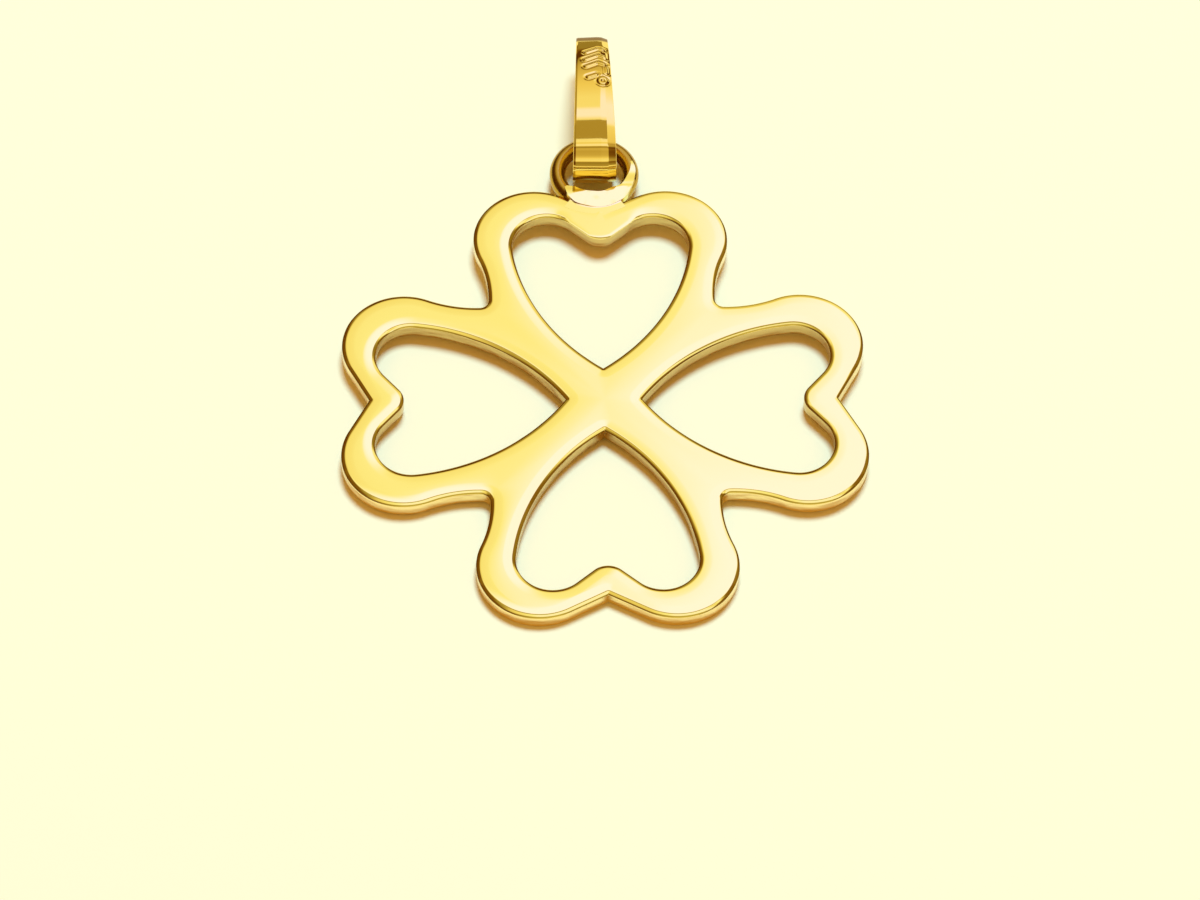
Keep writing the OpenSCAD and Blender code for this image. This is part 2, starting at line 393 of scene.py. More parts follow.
# %% [markdown]
# ## The outline of a leaf
#
# Every edge of the plate is made of arcs. A round arc bulges out of the metal and a hollow one
# bulges into it, and that one word says what happens when the outline moves into the metal by a
# small distance: a round arc shrinks and a hollow one grows. So one list of arcs gives the outline
# at any inset, with the same number of points each time, and the rolled edge of the plate is then
# only a stack of such outlines. The two sharp inner corners, at the notch and at the heart's point,
# are hollow arcs with a radius of zero.

# %% Describe the leaf and the heart in arcs
LOBE_R, LOBE_SIDE = 2.42, 2.60
NOTCH_DEPTH = 1.07
VALLEY_OUT, VALLEY_R, FLANK_R = 6.43, 0.35, 5.0
HEART_TIP, HEART_ANGLE, HEART_R = 1.5, math.radians(55), 1.39
RIM_END, RIM_SIDE, RIM_NOTCH, CLEFT_R = 1.33, 1.53, 1.36, 0.8
ROUND, HOLLOW = -1, 1

Arc = namedtuple("Arc", "centre radius start end side")


def point(x, y):
    return np.array([x, y], float)


def unit(v):
    return v / np.linalg.norm(v)


def angle_of(v):
    return math.atan2(v[1], v[0])


def left_of(v):
    return point(-v[1], v[0])


def meet(p, a, q, b):
    """The point a from p and b from q, on the left of the way from p to q."""
    d = np.linalg.norm(q - p)
    e = (q - p) / d
    h = (a * a - b * b + d * d) / (2 * d)
    return p + h * e + math.sqrt(a * a - h * h) * left_of(e)


def leaf_arcs():
    """The right half of a leaf's outer edge, from the valley beside it to the notch at its end."""
    notch = point(0, leaf_out - NOTCH_DEPTH)
    lobe = point(LOBE_SIDE, leaf_out - LOBE_R)
    fillet = (VALLEY_OUT + VALLEY_R) * unit(point(1, 1))
    flank = meet(lobe, LOBE_R + FLANK_R, fillet, FLANK_R - VALLEY_R)
    into_flank = angle_of(fillet - flank) % math.tau
    out_of_flank = angle_of(lobe - flank)
    lobe_start = angle_of(flank - lobe)
    reach = np.linalg.norm(lobe - notch)
    lobe_end = angle_of(lobe - notch) + math.asin(LOBE_R / reach) + math.pi / 2
    return [
        Arc(fillet, VALLEY_R, math.radians(225), into_flank, HOLLOW),
        Arc(flank, FLANK_R, into_flank, out_of_flank, HOLLOW),
        Arc(lobe, LOBE_R, lobe_start, lobe_end, ROUND),
        Arc(notch, 0.0, lobe_end - math.pi, -math.pi / 2, HOLLOW),
    ]


def heart_arcs():
    """The right half of a heart's edge, from its point to the cleft between its lobes."""
    tip = point(0, HEART_TIP)
    lobe = point(LOBE_SIDE + LOBE_R - RIM_SIDE - HEART_R, leaf_out - RIM_END - HEART_R)
    inward = point(-math.cos(HEART_ANGLE), math.sin(HEART_ANGLE))
    span = lobe - tip
    side_r = (span @ span - HEART_R**2) / (2 * (inward @ span - HEART_R))
    side = tip + side_r * inward
    side_start, side_end = angle_of(-inward), angle_of(lobe - side)
    crest = point(0, leaf_out - NOTCH_DEPTH - RIM_NOTCH + CLEFT_R)
    across = unit(lobe - crest)
    share = (CLEFT_R + HEART_R) / np.linalg.norm(lobe - crest)
    way = share * across - math.sqrt(1 - share**2) * left_of(across)
    return [
        Arc(tip, 0.0, -math.pi / 2, side_start, HOLLOW),
        Arc(side, side_r, side_start, side_end, HOLLOW),
        Arc(lobe, HEART_R, side_end, angle_of(-way) % math.tau, HOLLOW),
        Arc(crest, CLEFT_R, angle_of(way), -math.pi / 2, ROUND),
    ]


print(len(leaf_arcs()), "arcs make half a leaf and", len(heart_arcs()), "half a heart")

# %% Turn arcs into points at any inset
POINT_STEP = 0.085
CORNER_STEP = math.radians(6)
SAME_POINT = 1e-6


def trace(arcs, inset):
    """Points along half an outline, moved into the metal by inset. Joints between arcs count once."""
    points = []
    for arc in arcs:
        turn = abs(arc.end - arc.start)
        count = max(3, math.ceil(arc.radius * turn / POINT_STEP), math.ceil(turn / CORNER_STEP))
        radius = arc.radius + arc.side * inset
        for a in np.linspace(arc.start, arc.end, count + 1):
            here = arc.centre + radius * point(math.cos(a), math.sin(a))
            if not points or np.linalg.norm(here - points[-1]) > SAME_POINT:
                points.append(here)
    return points


def both_halves(half, closed):
    """Adds the mirror image of half an outline, which starts or ends on the leaf's middle line."""
    mirrored = [point(-p[0], p[1]) for p in reversed(half)]
    return half + mirrored[1:-1] if closed else half + mirrored[1:]


print(len(both_halves(trace(leaf_arcs(), 0.0), closed=False)), "points round a leaf")

# %% [markdown]
# ## The rolled edge
#
# A mop doesn't leave an edge sharp, and it doesn't leave a face flat. It eats most where the metal
# ends, so the face rolls off over the last half millimetre, turns over a narrow bevel and drops to
# the wall. In a mirror those three are three pictures: the pale band inside the edge, the thin
# brown line on it, and the orange wall. The rows below are that profile, from the face to the foot.

# %% Describe the section through the plate's edge
ROLL_FROM, ROLL_DROP, ROLL_POWER, ROLL_STEPS = 0.52, 0.027, 1.4, 9
BEVEL_FROM, BEVEL_TO, BEVEL_SLOPE = 0.155, 0.03, math.radians(20)
POLISHED_OFF = 0.012
# A row close beside the shoulder keeps the bevel's first line crisp
SHOULDER_WIDTH = 0.012
# How far the corner has turned in degrees, and its share of wall
CORNER_ROWS = [(40, 0.05), (60, 0.2), (78, 0.5)]
BELOW_BEVEL, BELOW_CORNER = 0.004, 0.02
WALL_ROWS = 8
FOOT_INSET, FOOT_RISE = 0.05, 0.04
# Where the row between wall and foot lies, as shares of those two
FOOT_IN, FOOT_UP = 0.35, 0.3

Row = namedtuple("Row", "inset height wall")


def edge_rows():
    """Rows from the flat face, over the edge and down to the underside: inset, height and wall share."""
    rows = []
    for inset in np.linspace(ROLL_FROM, BEVEL_FROM, ROLL_STEPS):
        rows.append(Row(inset, PLATE_T - ROLL_DROP * (1 - inset / ROLL_FROM) ** ROLL_POWER, 0.0))
    shoulder = rows[-1].height
    bevel_drop = (BEVEL_FROM - BEVEL_TO) * math.tan(BEVEL_SLOPE)
    rows.append(Row(BEVEL_FROM - SHOULDER_WIDTH, shoulder - SHOULDER_WIDTH * math.tan(BEVEL_SLOPE), 0.0))
    rows.append(Row((BEVEL_FROM + BEVEL_TO) / 2, shoulder - bevel_drop / 2, 0.0))
    rows.append(Row(BEVEL_TO, shoulder - bevel_drop, 0.0))
    corner_r = BEVEL_TO - POLISHED_OFF
    for degrees, wall in CORNER_ROWS:
        turn = math.radians(degrees)
        rows.append(Row(POLISHED_OFF + corner_r * (1 - math.sin(turn)),
                        shoulder - bevel_drop - corner_r * (1 - math.cos(turn)) - BELOW_BEVEL, wall))
    for height in np.linspace(rows[-1].height - BELOW_CORNER, FOOT_RISE, WALL_ROWS):
        rows.append(Row(POLISHED_OFF, height, 1.0))
    rows.append(Row(POLISHED_OFF + FOOT_IN * (FOOT_INSET - POLISHED_OFF), FOOT_UP * FOOT_RISE, 1.0))
    rows.append(Row(FOOT_INSET, 0.0, 1.0))
    return rows


rows = edge_rows()
for row in rows[::6]:
    print(f"inset {row.inset:.3f} mm, height {row.height:.3f} mm")

# %% [markdown]
# ## One leaf, four times
#
# Only one leaf is modelled: the quarter of the plate between two valleys. Its face and underside are
# flat sheets stretched between the innermost outlines. Geometry Nodes then puts the leaf on four
# points, turns each copy by a quarter more, realizes the copies and merges them where they meet, as
# the rule of the clover says. It also moves the walls by a few thousandths of a millimetre, in long
# streaks along the edge, which is how a filed wall differs from a cut one.


# %% Build one leaf
def to_object(name, bm):
    """Turns a bmesh into an object."""
    mesh = bpy.data.meshes.new(name)
    bm.to_mesh(mesh)
    bm.free()
    return bpy.data.objects.new(name, mesh)


def quarter_leaf():
    """The quarter of the plate with the leaf along +Y."""
    bm = bmesh.new()
    wall_layer = bm.verts.layers.float.new("wall")
    edges_of_sheets = []
    for arcs, closed in ((leaf_arcs(), False), (heart_arcs(), True)):
        rings = []
        for row in rows:
            ring = []
            for p in both_halves(trace(arcs, row.inset), closed):
                vert = bm.verts.new((p[0] * MM, p[1] * MM, row.height * MM))
                vert[wall_layer] = row.wall
                ring.append(vert)
            rings.append(ring)
        count = len(rings[0])
        for ring, below in zip(rings, rings[1:]):
            for k in range(count if closed else count - 1):
                bm.faces.new((ring[k], ring[(k + 1) % count], below[(k + 1) % count], below[k]))
        edges_of_sheets.append((rings[0], rings[-1]))
    for (leaf_ring, heart_ring), height in zip(zip(*edges_of_sheets), (PLATE_T, 0.0)):
        middle = bm.verts.new((0, 0, height * MM))
        edges = [bm.edges.get((a, b)) for a, b in zip(leaf_ring, leaf_ring[1:])]
        edges += [bm.edges.get((a, b)) for a, b in zip(heart_ring, heart_ring[1:] + heart_ring[:1])]
        edges += [bm.edges.new((leaf_ring[-1], middle)), bm.edges.new((middle, leaf_ring[0]))]
        bmesh.ops.triangle_fill(bm, edges=edges, use_beauty=True, normal=(0, 0, 1))
    return to_object("quarter leaf", bm)


quarter = quarter_leaf()
scene.collection.objects.link(quarter)
print(f"one leaf: {len(quarter.data.vertices)} points, {len(quarter.data.polygons)} faces")


# %% A small kit for node trees
def new_tree(name, **inputs):
    """A Geometry Nodes tree with named inputs: a float, an int, or a socket type's name."""
    tree = bpy.data.node_groups.new(name, "GeometryNodeTree")
    tree.interface.new_socket(name="Geometry", in_out="OUTPUT", socket_type="NodeSocketGeometry")
    tree.interface.new_socket(name="Geometry", in_out="INPUT", socket_type="NodeSocketGeometry")
    for label, value in inputs.items():
        kind = {float: "NodeSocketFloat", int: "NodeSocketInt"}.get(type(value), value)
        tree.interface.new_socket(name=label.replace("_", " "), in_out="INPUT", socket_type=kind)
    return tree, add(tree, "NodeGroupInput").outputs


def end_tree(tree, geometry, material):
    """Realizes the instances, sets the material and closes the tree."""
    real = add(tree, "GeometryNodeRealizeInstances", Geometry=geometry)
    smooth = add(tree, "GeometryNodeSetShadeSmooth", Geometry=real)
    dressed = add(tree, "GeometryNodeSetMaterial", Geometry=smooth, Material=material)
    add(tree, "NodeGroupOutput", Geometry=dressed)


def as_made(name, source):
    """What an object's modifiers make of it, as a plain mesh object."""
    graph = bpy.context.evaluated_depsgraph_get()
    mesh = bpy.data.meshes.new_from_object(source.evaluated_get(graph), depsgraph=graph)
    mesh.name = name
    return bpy.data.objects.new(name, mesh)


def grow(name, source, tree, **values):
    """Runs a tree on an object and returns what it makes."""
    modifier = source.modifiers.new(tree.name, "NODES")
    modifier.node_group = tree
    sockets = {item.name: item.identifier for item in tree.interface.items_tree if item.in_out == "INPUT"}
    for label, value in values.items():
        modifier[sockets[label.replace("_", " ")]] = value
    made = as_made(name, source)
    source.modifiers.remove(modifier)
    return made


def unevenness(tree, seed, depth, **noise):
    """Smooth random heights, from about -depth to depth and the same in every run, as handwork leaves."""
    soft_noise = add(tree, "ShaderNodeTexNoise", {"noise_dimensions": "4D"}, W=seed, **noise)
    swing = add(tree, "ShaderNodeMapRange", Value=soft_noise, From_Min=0.3, From_Max=0.7,
                To_Min=-1.0, To_Max=1.0)
    return add(tree, "ShaderNodeMath", {"operation": "MULTIPLY"}, i0=swing, i1=depth)


def outwards(tree, height):
    """The move that takes a point along its normal by a height."""
    normal = add(tree, "GeometryNodeInputNormal")
    return add(tree, "ShaderNodeVectorMath", {"operation": "SCALE"}, i0=normal, Scale=height)


print("kit of", [tool.__name__ for tool in (new_tree, end_tree, as_made, grow, unevenness, outwards)])

# %% Repeat the leaf round the centre
LEAVES = 4
JOIN_WITHIN = 0.001
FILED_WAVE_HEIGHT, FILED_WAVE_SIZE, FILED_WAVE_STRETCH, FILED_WAVE_SEED = 0.011, 1.1, 4.0, 3

clover_values = dict(Leaves=LEAVES, Wave_height=FILED_WAVE_HEIGHT * MM, Wave_size=FILED_WAVE_SIZE * MM,
                     Seed=FILED_WAVE_SEED)
tree, given = new_tree("leaves round a centre", **clover_values, Material="NodeSocketMaterial")
points = add(tree, "GeometryNodeMeshLine", Count=given["Leaves"], Offset=(0.0, 0.0, 0.0))
number = add(tree, "GeometryNodeInputIndex")
turn = add(tree, "ShaderNodeMath", {"operation": "DIVIDE"}, i0=-math.tau, i1=given["Leaves"])
turn = add(tree, "ShaderNodeMath", {"operation": "MULTIPLY"}, i0=number, i1=turn)
spin = add(tree, "ShaderNodeCombineXYZ", Z=turn)
copies = add(tree, "GeometryNodeInstanceOnPoints", Points=points, Instance=given["Geometry"], Rotation=spin)
real = add(tree, "GeometryNodeRealizeInstances", Geometry=copies)
joined = add(tree, "GeometryNodeMergeByDistance", Geometry=real, Distance=JOIN_WITHIN * MM)

place = add(tree, "GeometryNodeInputPosition")
streaks = add(tree, "ShaderNodeVectorMath", {"operation": "MULTIPLY"}, i0=place,
              i1=(1.0, 1.0, FILED_WAVE_STRETCH))
fineness = add(tree, "ShaderNodeMath", {"operation": "DIVIDE"}, i0=1.0, i1=given["Wave size"])
on_wall = add(tree, "GeometryNodeInputNamedAttribute", Name="wall")
waves = unevenness(tree, given["Seed"], on_wall, Vector=streaks, Scale=fineness, Detail=2.0)
waves = add(tree, "ShaderNodeMath", {"operation": "MULTIPLY"}, i0=waves, i1=given["Wave height"])
filed = add(tree, "GeometryNodeSetPosition", Geometry=joined, Offset=outwards(tree, waves))
end_tree(tree, filed, given["Material"])
plate = grow("plate", quarter, tree, **clover_values, Material=face_gold)
bpy.data.objects.remove(quarter)
print(f"plate: {len(plate.data.vertices)} points, {len(plate.data.polygons)} faces")

# %% [markdown]
# The mop took less from the edges on the right: they roll off less, and where they face forward
# their bevel is narrower. Round the notch the solder has run over the edge, which is level there.

# %% Let the mop take less on the right, and level the notch
LESS_ROLL, LESS_BEVEL = 0.65, 0.8
LESS_FROM_X, LESS_TO_X = -1.0, 4.0
# A normal that points this far back keeps its whole bevel, and one that points as far forward doesn't
FACES_BACK = 0.15
FLAT_WITHIN, ROLLED_BEYOND = 1.15, 1.75
# Everything that the mop has rolled lies within this depth of the face
ROLLED_DEPTH = 0.095
SAME_HEIGHT = 0.002


def share_between(value, start, end):
    """0 before start, 1 beyond end, and in proportion between them."""
    return min(1.0, max(0.0, (value - start) / (end - start)))


shoulder_drop = ROLL_DROP * (1 - BEVEL_FROM / ROLL_FROM) ** ROLL_POWER
half_bevel = (BEVEL_FROM - BEVEL_TO) / 2 * math.tan(BEVEL_SLOPE)
for vert in plate.data.vertices:
    rolled = PLATE_T - vert.co.z / MM
    if rolled < ROLLED_DEPTH:
        share = share_between(vert.co.x / MM, LESS_FROM_X, LESS_TO_X)
        vert.co.z += LESS_ROLL * share * min(rolled, shoulder_drop) * MM
        if abs(rolled - shoulder_drop - half_bevel) < SAME_HEIGHT:
            share *= share_between(vert.normal.y, FACES_BACK, -FACES_BACK)
            vert.co.z += LESS_BEVEL * share * half_bevel * MM

wall_values = plate.data.attributes["wall"].data
for vert, wall_value in zip(plate.data.vertices, wall_values):
    away = math.hypot(vert.co.x, vert.co.y - (leaf_out - NOTCH_DEPTH) * MM) / MM
    if away < ROLLED_BEYOND and vert.co.z > (PLATE_T - ROLLED_DEPTH) * MM:
        share = share_between(away, ROLLED_BEYOND, FLAT_WITHIN)
        vert.co.z += share * share * (3 - 2 * share) * (PLATE_T * MM - vert.co.z)
        wall_value.value *= 1 - share
print("the notch's edge is level within", FLAT_WITHIN, "mm")

# %% [markdown]
# ## The ring and its solder
#
# The ring is a piece of round wire bent to a circle, so it is made the same way: a circle is swept
# along a circle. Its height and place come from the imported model, as the ring takes the plate's top
# and the strap passes under it. Solder fills the notch below the ring up to the face, and more of it
# lies over the wire there and is filed to one slanting surface, which is the bright flat patch in
# front of the ring's hole. Two blocks, a filling and a bed, do the same here, and booleans fuse
# plate, ring and solder to one closed body, as heat does.

# %% Bend the wire ring
RING_SIDE = -0.18
RING_BORE = 2.28
RING_WIRE = 0.64
SOLDER_DEPTH = 0.34
RING_DROP = 0.06
RING_SEGMENTS, WIRE_SIDES = 128, 28
RING_UNEVENNESS, RING_WAVES_PER_MM, RING_SEED = 0.006, 0.9, 11

ring_mid = (RING_BORE + RING_WIRE) / 2
ring_y = leaf_out - NOTCH_DEPTH + SOLDER_DEPTH + ring_mid + RING_WIRE / 2
ring_centre = Vector((RING_SIDE, ring_y, PLATE_T / 2 - RING_DROP)) * MM

ring_values = dict(Ring_radius=ring_mid * MM, Wire_radius=RING_WIRE / 2 * MM, Wire_sides=WIRE_SIDES,
                   Ring_segments=RING_SEGMENTS, Unevenness=RING_UNEVENNESS * MM, Seed=RING_SEED)
tree, given = new_tree("wire bent to a ring", **ring_values, Material="NodeSocketMaterial")
circle = add(tree, "GeometryNodeCurvePrimitiveCircle", Radius=given["Ring radius"],
             Resolution=given["Ring segments"])
section = add(tree, "GeometryNodeCurvePrimitiveCircle", Radius=given["Wire radius"],
              Resolution=given["Wire sides"])
wire = add(tree, "GeometryNodeCurveToMesh", Curve=circle, Profile_Curve=section)
waves = unevenness(tree, given["Seed"], given["Unevenness"], Scale=RING_WAVES_PER_MM / MM, Detail=1.0)
shift = add(tree, "ShaderNodeVectorMath", {"operation": "ADD"}, i0=outwards(tree, waves),
            i1=tuple(ring_centre))
hand_bent = add(tree, "GeometryNodeSetPosition", Geometry=wire, Offset=shift)
end_tree(tree, hand_bent, given["Material"])

ring_start = bpy.data.objects.new("ring", bpy.data.meshes.new("ring"))
scene.collection.objects.link(ring_start)
ring = grow("ring", ring_start, tree, **ring_values, Material=face_gold)
bpy.data.objects.remove(ring_start)
print(f"ring: {len(ring.data.vertices)} points, centre {[round(v / MM, 2) for v in ring_centre]} mm")

# %% Two helpers for a block of solder
SOLDER_ROWS = 9


def sector(start, end, inner, outer, steps):
    """Columns of (x, y) over a sector of a ring; inner and outer are functions of the angle."""
    return [[(r * math.cos(a), r * math.sin(a)) for r in np.linspace(inner(a), outer(a), SOLDER_ROWS)]
            for a in np.linspace(start, end, steps + 1)]


def closed_grid(name, columns, low, high):
    """A closed block over a grid: columns hold (x, y) from the ring's middle, low and high give z there."""
    bm = bmesh.new()
    layers = []
    for height_of in (low, high):
        layers.append([[bm.verts.new(ring_centre.xy.to_3d() + Vector((x, y, height_of(x, y))) * MM)
                        for x, y in column] for column in columns])
    last_i, last_j = len(columns) - 1, len(columns[0]) - 1
    for layer in layers:
        for i in range(last_i):
            for j in range(last_j):
                bm.faces.new((layer[i][j], layer[i + 1][j], layer[i + 1][j + 1], layer[i][j + 1]))
    rim = [(i, 0) for i in range(last_i)] + [(last_i, j) for j in range(last_j)]
    rim += [(i, last_j) for i in range(last_i, 0, -1)] + [(0, j) for j in range(last_j, 0, -1)]
    for (i, j), (m, n) in zip(rim, rim[1:] + rim[:1]):
        bm.faces.new((layers[0][i][j], layers[0][m][n], layers[1][m][n], layers[1][i][j]))
    bmesh.ops.recalc_face_normals(bm, faces=bm.faces)
    return to_object(name, bm)


print("a block of solder has", SOLDER_ROWS, "rows of points across")

# %% Fill the notch with solder
FILLING_FOOT, FILLING_BELOW_FACE = 0.12, 0.0006
FILLING_HALF_ANGLE, FILLING_REACH, FILLING_STEPS = math.radians(33), 2.22, 20

filling_columns = sector(-math.pi / 2 - FILLING_HALF_ANGLE, -math.pi / 2 + FILLING_HALF_ANGLE,
                         lambda a: ring_mid, lambda a: FILLING_REACH, FILLING_STEPS)
filling = closed_grid("filling", filling_columns, lambda x, y: FILLING_FOOT,
                      lambda x, y: PLATE_T - FILLING_BELOW_FACE)
print(f"the filling reaches {FILLING_REACH - ring_mid:.2f} mm into the notch from the wire's middle line")

# %% Lay a bed of solder over the wire and file it
BED_FROM, BED_TO, BED_STEPS = math.radians(-142), math.radians(14), 60
BED_FOOT, BED_REACH = 0.30, 1.90
# Where round the ring, in degrees, the bed's inner and outer radius change
BED_EDGES = [
    (-142, 1.40, 1.52), (-132, 1.20, 1.66), (-115, 1.17, 1.84), (-70, 1.17, 1.90), (-52, 1.19, 1.86),
    (-38, 1.30, 1.74), (-15, 1.36, 1.66), (4, 1.44, 1.62), (14, 1.50, 1.58),
]
BED_EDGE_WAVES = 0.012
FILED_RISE_Y, FILED_RISE_X = math.radians(5.0), math.radians(1.5)
FILED_AT_FRONT, FILED_WAVES = 0.016, 0.010
# The bed's highest point over the face beside the ring and in front of it, and where that changes
BED_HIGH_BESIDE, BED_HIGH_IN_FRONT = 0.05, 0.10
BED_BESIDE_FROM_Y, BED_IN_FRONT_FROM_Y = -0.80, -1.10


def bed_edge(column):
    """The bed's inner (1) or outer (2) radius as a function of the angle, a little uneven as solder runs."""
    angles, radii = [math.radians(row[0]) for row in BED_EDGES], [row[column] for row in BED_EDGES]
    return lambda a: float(np.interp(a, angles, radii)) + BED_EDGE_WAVES * math.sin(9 * a + column)


def filed_height(x, y):
    """Height of the filed surface over the ring's own middle point x, y, all in millimetres."""
    wave = math.sin(5.1 * x + 1.7 * y + 0.6) * math.sin(3.3 * x - 4.2 * y)
    slope = math.tan(FILED_RISE_Y) * (y + BED_REACH) - math.tan(FILED_RISE_X) * x
    return PLATE_T + FILED_AT_FRONT + slope + FILED_WAVES * wave


def bed_top(x, y):
    """The filed surface in front, which sinks to the wire's own top at the bed's right end."""
    in_front = share_between(y, BED_BESIDE_FROM_Y, BED_IN_FRONT_FROM_Y)
    highest = BED_HIGH_BESIDE + (BED_HIGH_IN_FRONT - BED_HIGH_BESIDE) * in_front
    return min(filed_height(x, y), PLATE_T + highest + FILED_WAVES * math.sin(7 * y))


bed_columns = sector(BED_FROM, BED_TO, bed_edge(1), bed_edge(2), BED_STEPS)
bed = closed_grid("bed", bed_columns, lambda x, y: BED_FOOT, bed_top)
print(f"the solder's bed is {bed_top(0, -BED_REACH):.3f} mm up at its front edge")


# %% Fuse plate, ring and solder
def fuse(name, first, *others):
    """Joins closed bodies to the first one with booleans and returns what they make."""
    for item in (first, *others):
        if item.name not in scene.collection.objects:
            scene.collection.objects.link(item)
    for other in others:
        modifier = first.modifiers.new(other.name, "BOOLEAN")
        modifier.operation, modifier.object, modifier.solver = "UNION", other, "EXACT"
    made = as_made(name, first)
    for item in (first, *others):
        bpy.data.objects.remove(item)
    return made


soldered_ring = fuse("soldered_ring", ring, filling, bed)
clover = fuse("clover_gold_plate", plate, soldered_ring)
print("fused body:", len(clover.data.polygons), "faces")

# %% Say where the clover's gold is rougher and painted with shade
WIRE_TOLERANCE = 0.02
# Walls start this far below the face. A heart's walls lie within these lengths along its leaf and across
WALL_TOP = 0.08
HEART_END = leaf_out - (RIM_END + NOTCH_DEPTH) / 2
HEART_HALF = (LOBE_SIDE + LOBE_R - RIM_SIDE + VALLEY_OUT / math.sqrt(2)) / 2
# Shares of painted shade on the heart walls; the first one also makes them rougher
HEART_ROUGH_SHADE, HEART_DEEP_SHADE = 0.45, 0.22


def set_shares(mesh, name, share_at):
    """Writes an attribute of that name, from a function of a point's place in millimetres."""
    layer = mesh.attributes.new(name, "FLOAT", "POINT")
    layer.data.foreach_set("value", [share_at(vert.co / MM) for vert in mesh.vertices])


def on_ring(place):
    """1 on the wire's own round surface, 0 elsewhere."""
    off = place - ring_centre / MM
    depth = abs(math.hypot(math.hypot(off.x, off.y) - ring_mid, off.z) - RING_WIRE / 2)
    return 1.0 if depth < WIRE_TOLERANCE else 0.0


def in_heart(place):
    """1 on the walls inside the hearts and at the middle of the underside, 0 elsewhere."""
    across, along = sorted((abs(place.x), abs(place.y)))
    is_inside = along < HEART_END and across < HEART_HALF
    return 1.0 if is_inside and place.z < PLATE_T - WALL_TOP else 0.0


# Painted shade: the ring is painted brown and made rougher, and the heart walls take a part of both browns
set_shares(clover.data, "rough_shade", lambda place: max(on_ring(place), HEART_ROUGH_SHADE * in_heart(place)))
set_shares(clover.data, "deep_shade", lambda place: HEART_DEEP_SHADE * in_heart(place))
print(f"a heart ends {HEART_END:.2f} mm from the centre at most")

# %% Finish the clover
MERGE_WITHIN = 0.0002
CLOVER_CREASE, BAIL_CREASE = 50, 12


def finish_mesh(mesh, crease_degrees, is_soft=lambda place: False):
    """Merges doubles, turns faces outwards, marks creases sharp and returns the number of open edges."""
    bm = bmesh.new()
    bm.from_mesh(mesh)
    bmesh.ops.remove_doubles(bm, verts=bm.verts, dist=MERGE_WITHIN * MM)
    bmesh.ops.recalc_face_normals(bm, faces=bm.faces)
    for edge in bm.edges:
        is_crease = edge.is_manifold and edge.calc_face_angle(0.0) > math.radians(crease_degrees)
        edge.smooth = not is_crease or is_soft(edge.verts[0].co / MM)
    for face in bm.faces:
        face.smooth = True
    open_edges = sum(not edge.is_manifold for edge in bm.edges)
    bm.to_mesh(mesh)
    bm.free()
    return open_edges


clover.data.transform(lay)
clover.data.materials.clear()
clover.data.materials.append(face_gold)
print("clover:", len(clover.data.polygons), "faces, open edges", finish_mesh(clover.data, CLOVER_CREASE))
scene.collection.objects.link(clover)
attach(clover, "root")
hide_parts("clover")

# %% [markdown]
# ## The bail
#
# The bail is a strip of flat gold, filed along one side of its face so that it has a ridge, then
# bent round and closed. That is a section swept along a path, which Geometry Nodes do with two
# curves. The path is the strap's outer line, made of two round ends and two long curves, one on top
# and one underneath. The section lies wholly inside that line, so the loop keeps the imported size.
# After the sweep one node makes the strap narrower towards its far end.

# %% Lay out the loop's path
STRAP_T = 0.3
STRAP_W_NOSE, STRAP_W_FAR = 1.74, 1.24
NOSE_OUT_R, FAR_OUT_R, CROWN_R, BELLY_R = 1.2, 0.6, 7.8, 7.0
REST_AT = 1.8
# The punched stretch of the crown has finer steps
PATH_STEP, FINE_STEP, LONGEST_TURN = 0.05, 0.02, math.radians(5)
FINE_FROM, FINE_TO = 1.7, 5.1
SAME_ANGLE = 1e-9

nose_y, far_y = bail_low.y / MM + NOSE_OUT_R, bail_high.y / MM - FAR_OUT_R
belly_centre = point(nose_y + REST_AT, BELLY_R)
nose_centre = point(nose_y, BELLY_R - math.sqrt((BELLY_R - NOSE_OUT_R)**2 - REST_AT**2))
far_centre = point(far_y, BELLY_R - math.sqrt((BELLY_R - FAR_OUT_R)**2 - (far_y - nose_y - REST_AT)**2))
crown_centre = meet(far_centre, CROWN_R - FAR_OUT_R, nose_centre, CROWN_R - NOSE_OUT_R)
crown_from, crown_to = angle_of(far_centre - crown_centre), angle_of(nose_centre - crown_centre)
belly_from, belly_to = angle_of(nose_centre - belly_centre), angle_of(far_centre - belly_centre)


def loop_path():
    """Points (y, z) round the strap's outer line: over the top to the nose, back underneath."""
    points = []
    for centre, radius, start, end in ((far_centre, FAR_OUT_R, belly_to, crown_from),
                                       (crown_centre, CROWN_R, crown_from, crown_to),
                                       (nose_centre, NOSE_OUT_R, crown_to, belly_from % math.tau),
                                       (belly_centre, BELLY_R, belly_from, belly_to)):
        angle = start
        while angle < end - SAME_ANGLE:
            here = centre + radius * point(math.cos(angle), math.sin(angle))
            points.append(here)
            fine = FINE_FROM < here[0] - nose_y < FINE_TO and centre is crown_centre
            angle += min((FINE_STEP if fine else PATH_STEP) / radius, LONGEST_TURN)
    return points


def line_object(name, points, edges=None):
    """An object of edges between points. Without a list of edges they join the points to a closed line."""
    mesh = bpy.data.meshes.new(name)
    count = len(points)
    mesh.from_pydata(points, edges or [(k, (k + 1) % count) for k in range(count)], [])
    made = bpy.data.objects.new(name, mesh)
    scene.collection.objects.link(made)
    return made


loop_line = line_object("loop line", [(RING_SIDE * MM, p[0] * MM, p[1] * MM) for p in loop_path()])
print(f"{len(loop_line.data.vertices)} points along the loop")

# %% Draw the strap's section
# Across the strap as a share of its width, depth below the outer line in mm
STRAP_SECTION = [
    (-0.500, 0.075), (-0.490, 0.050), (-0.443, 0.030), (0.167, 0.0), (0.302, 0.012), (0.490, 0.097),
    (0.500, 0.125),
]
SECTION_STEP = 0.02
# The corners of the strap's inner face are broken: by a depth, and by a share of the width
INNER_DEPTH, INNER_HALF = 0.03, 0.48


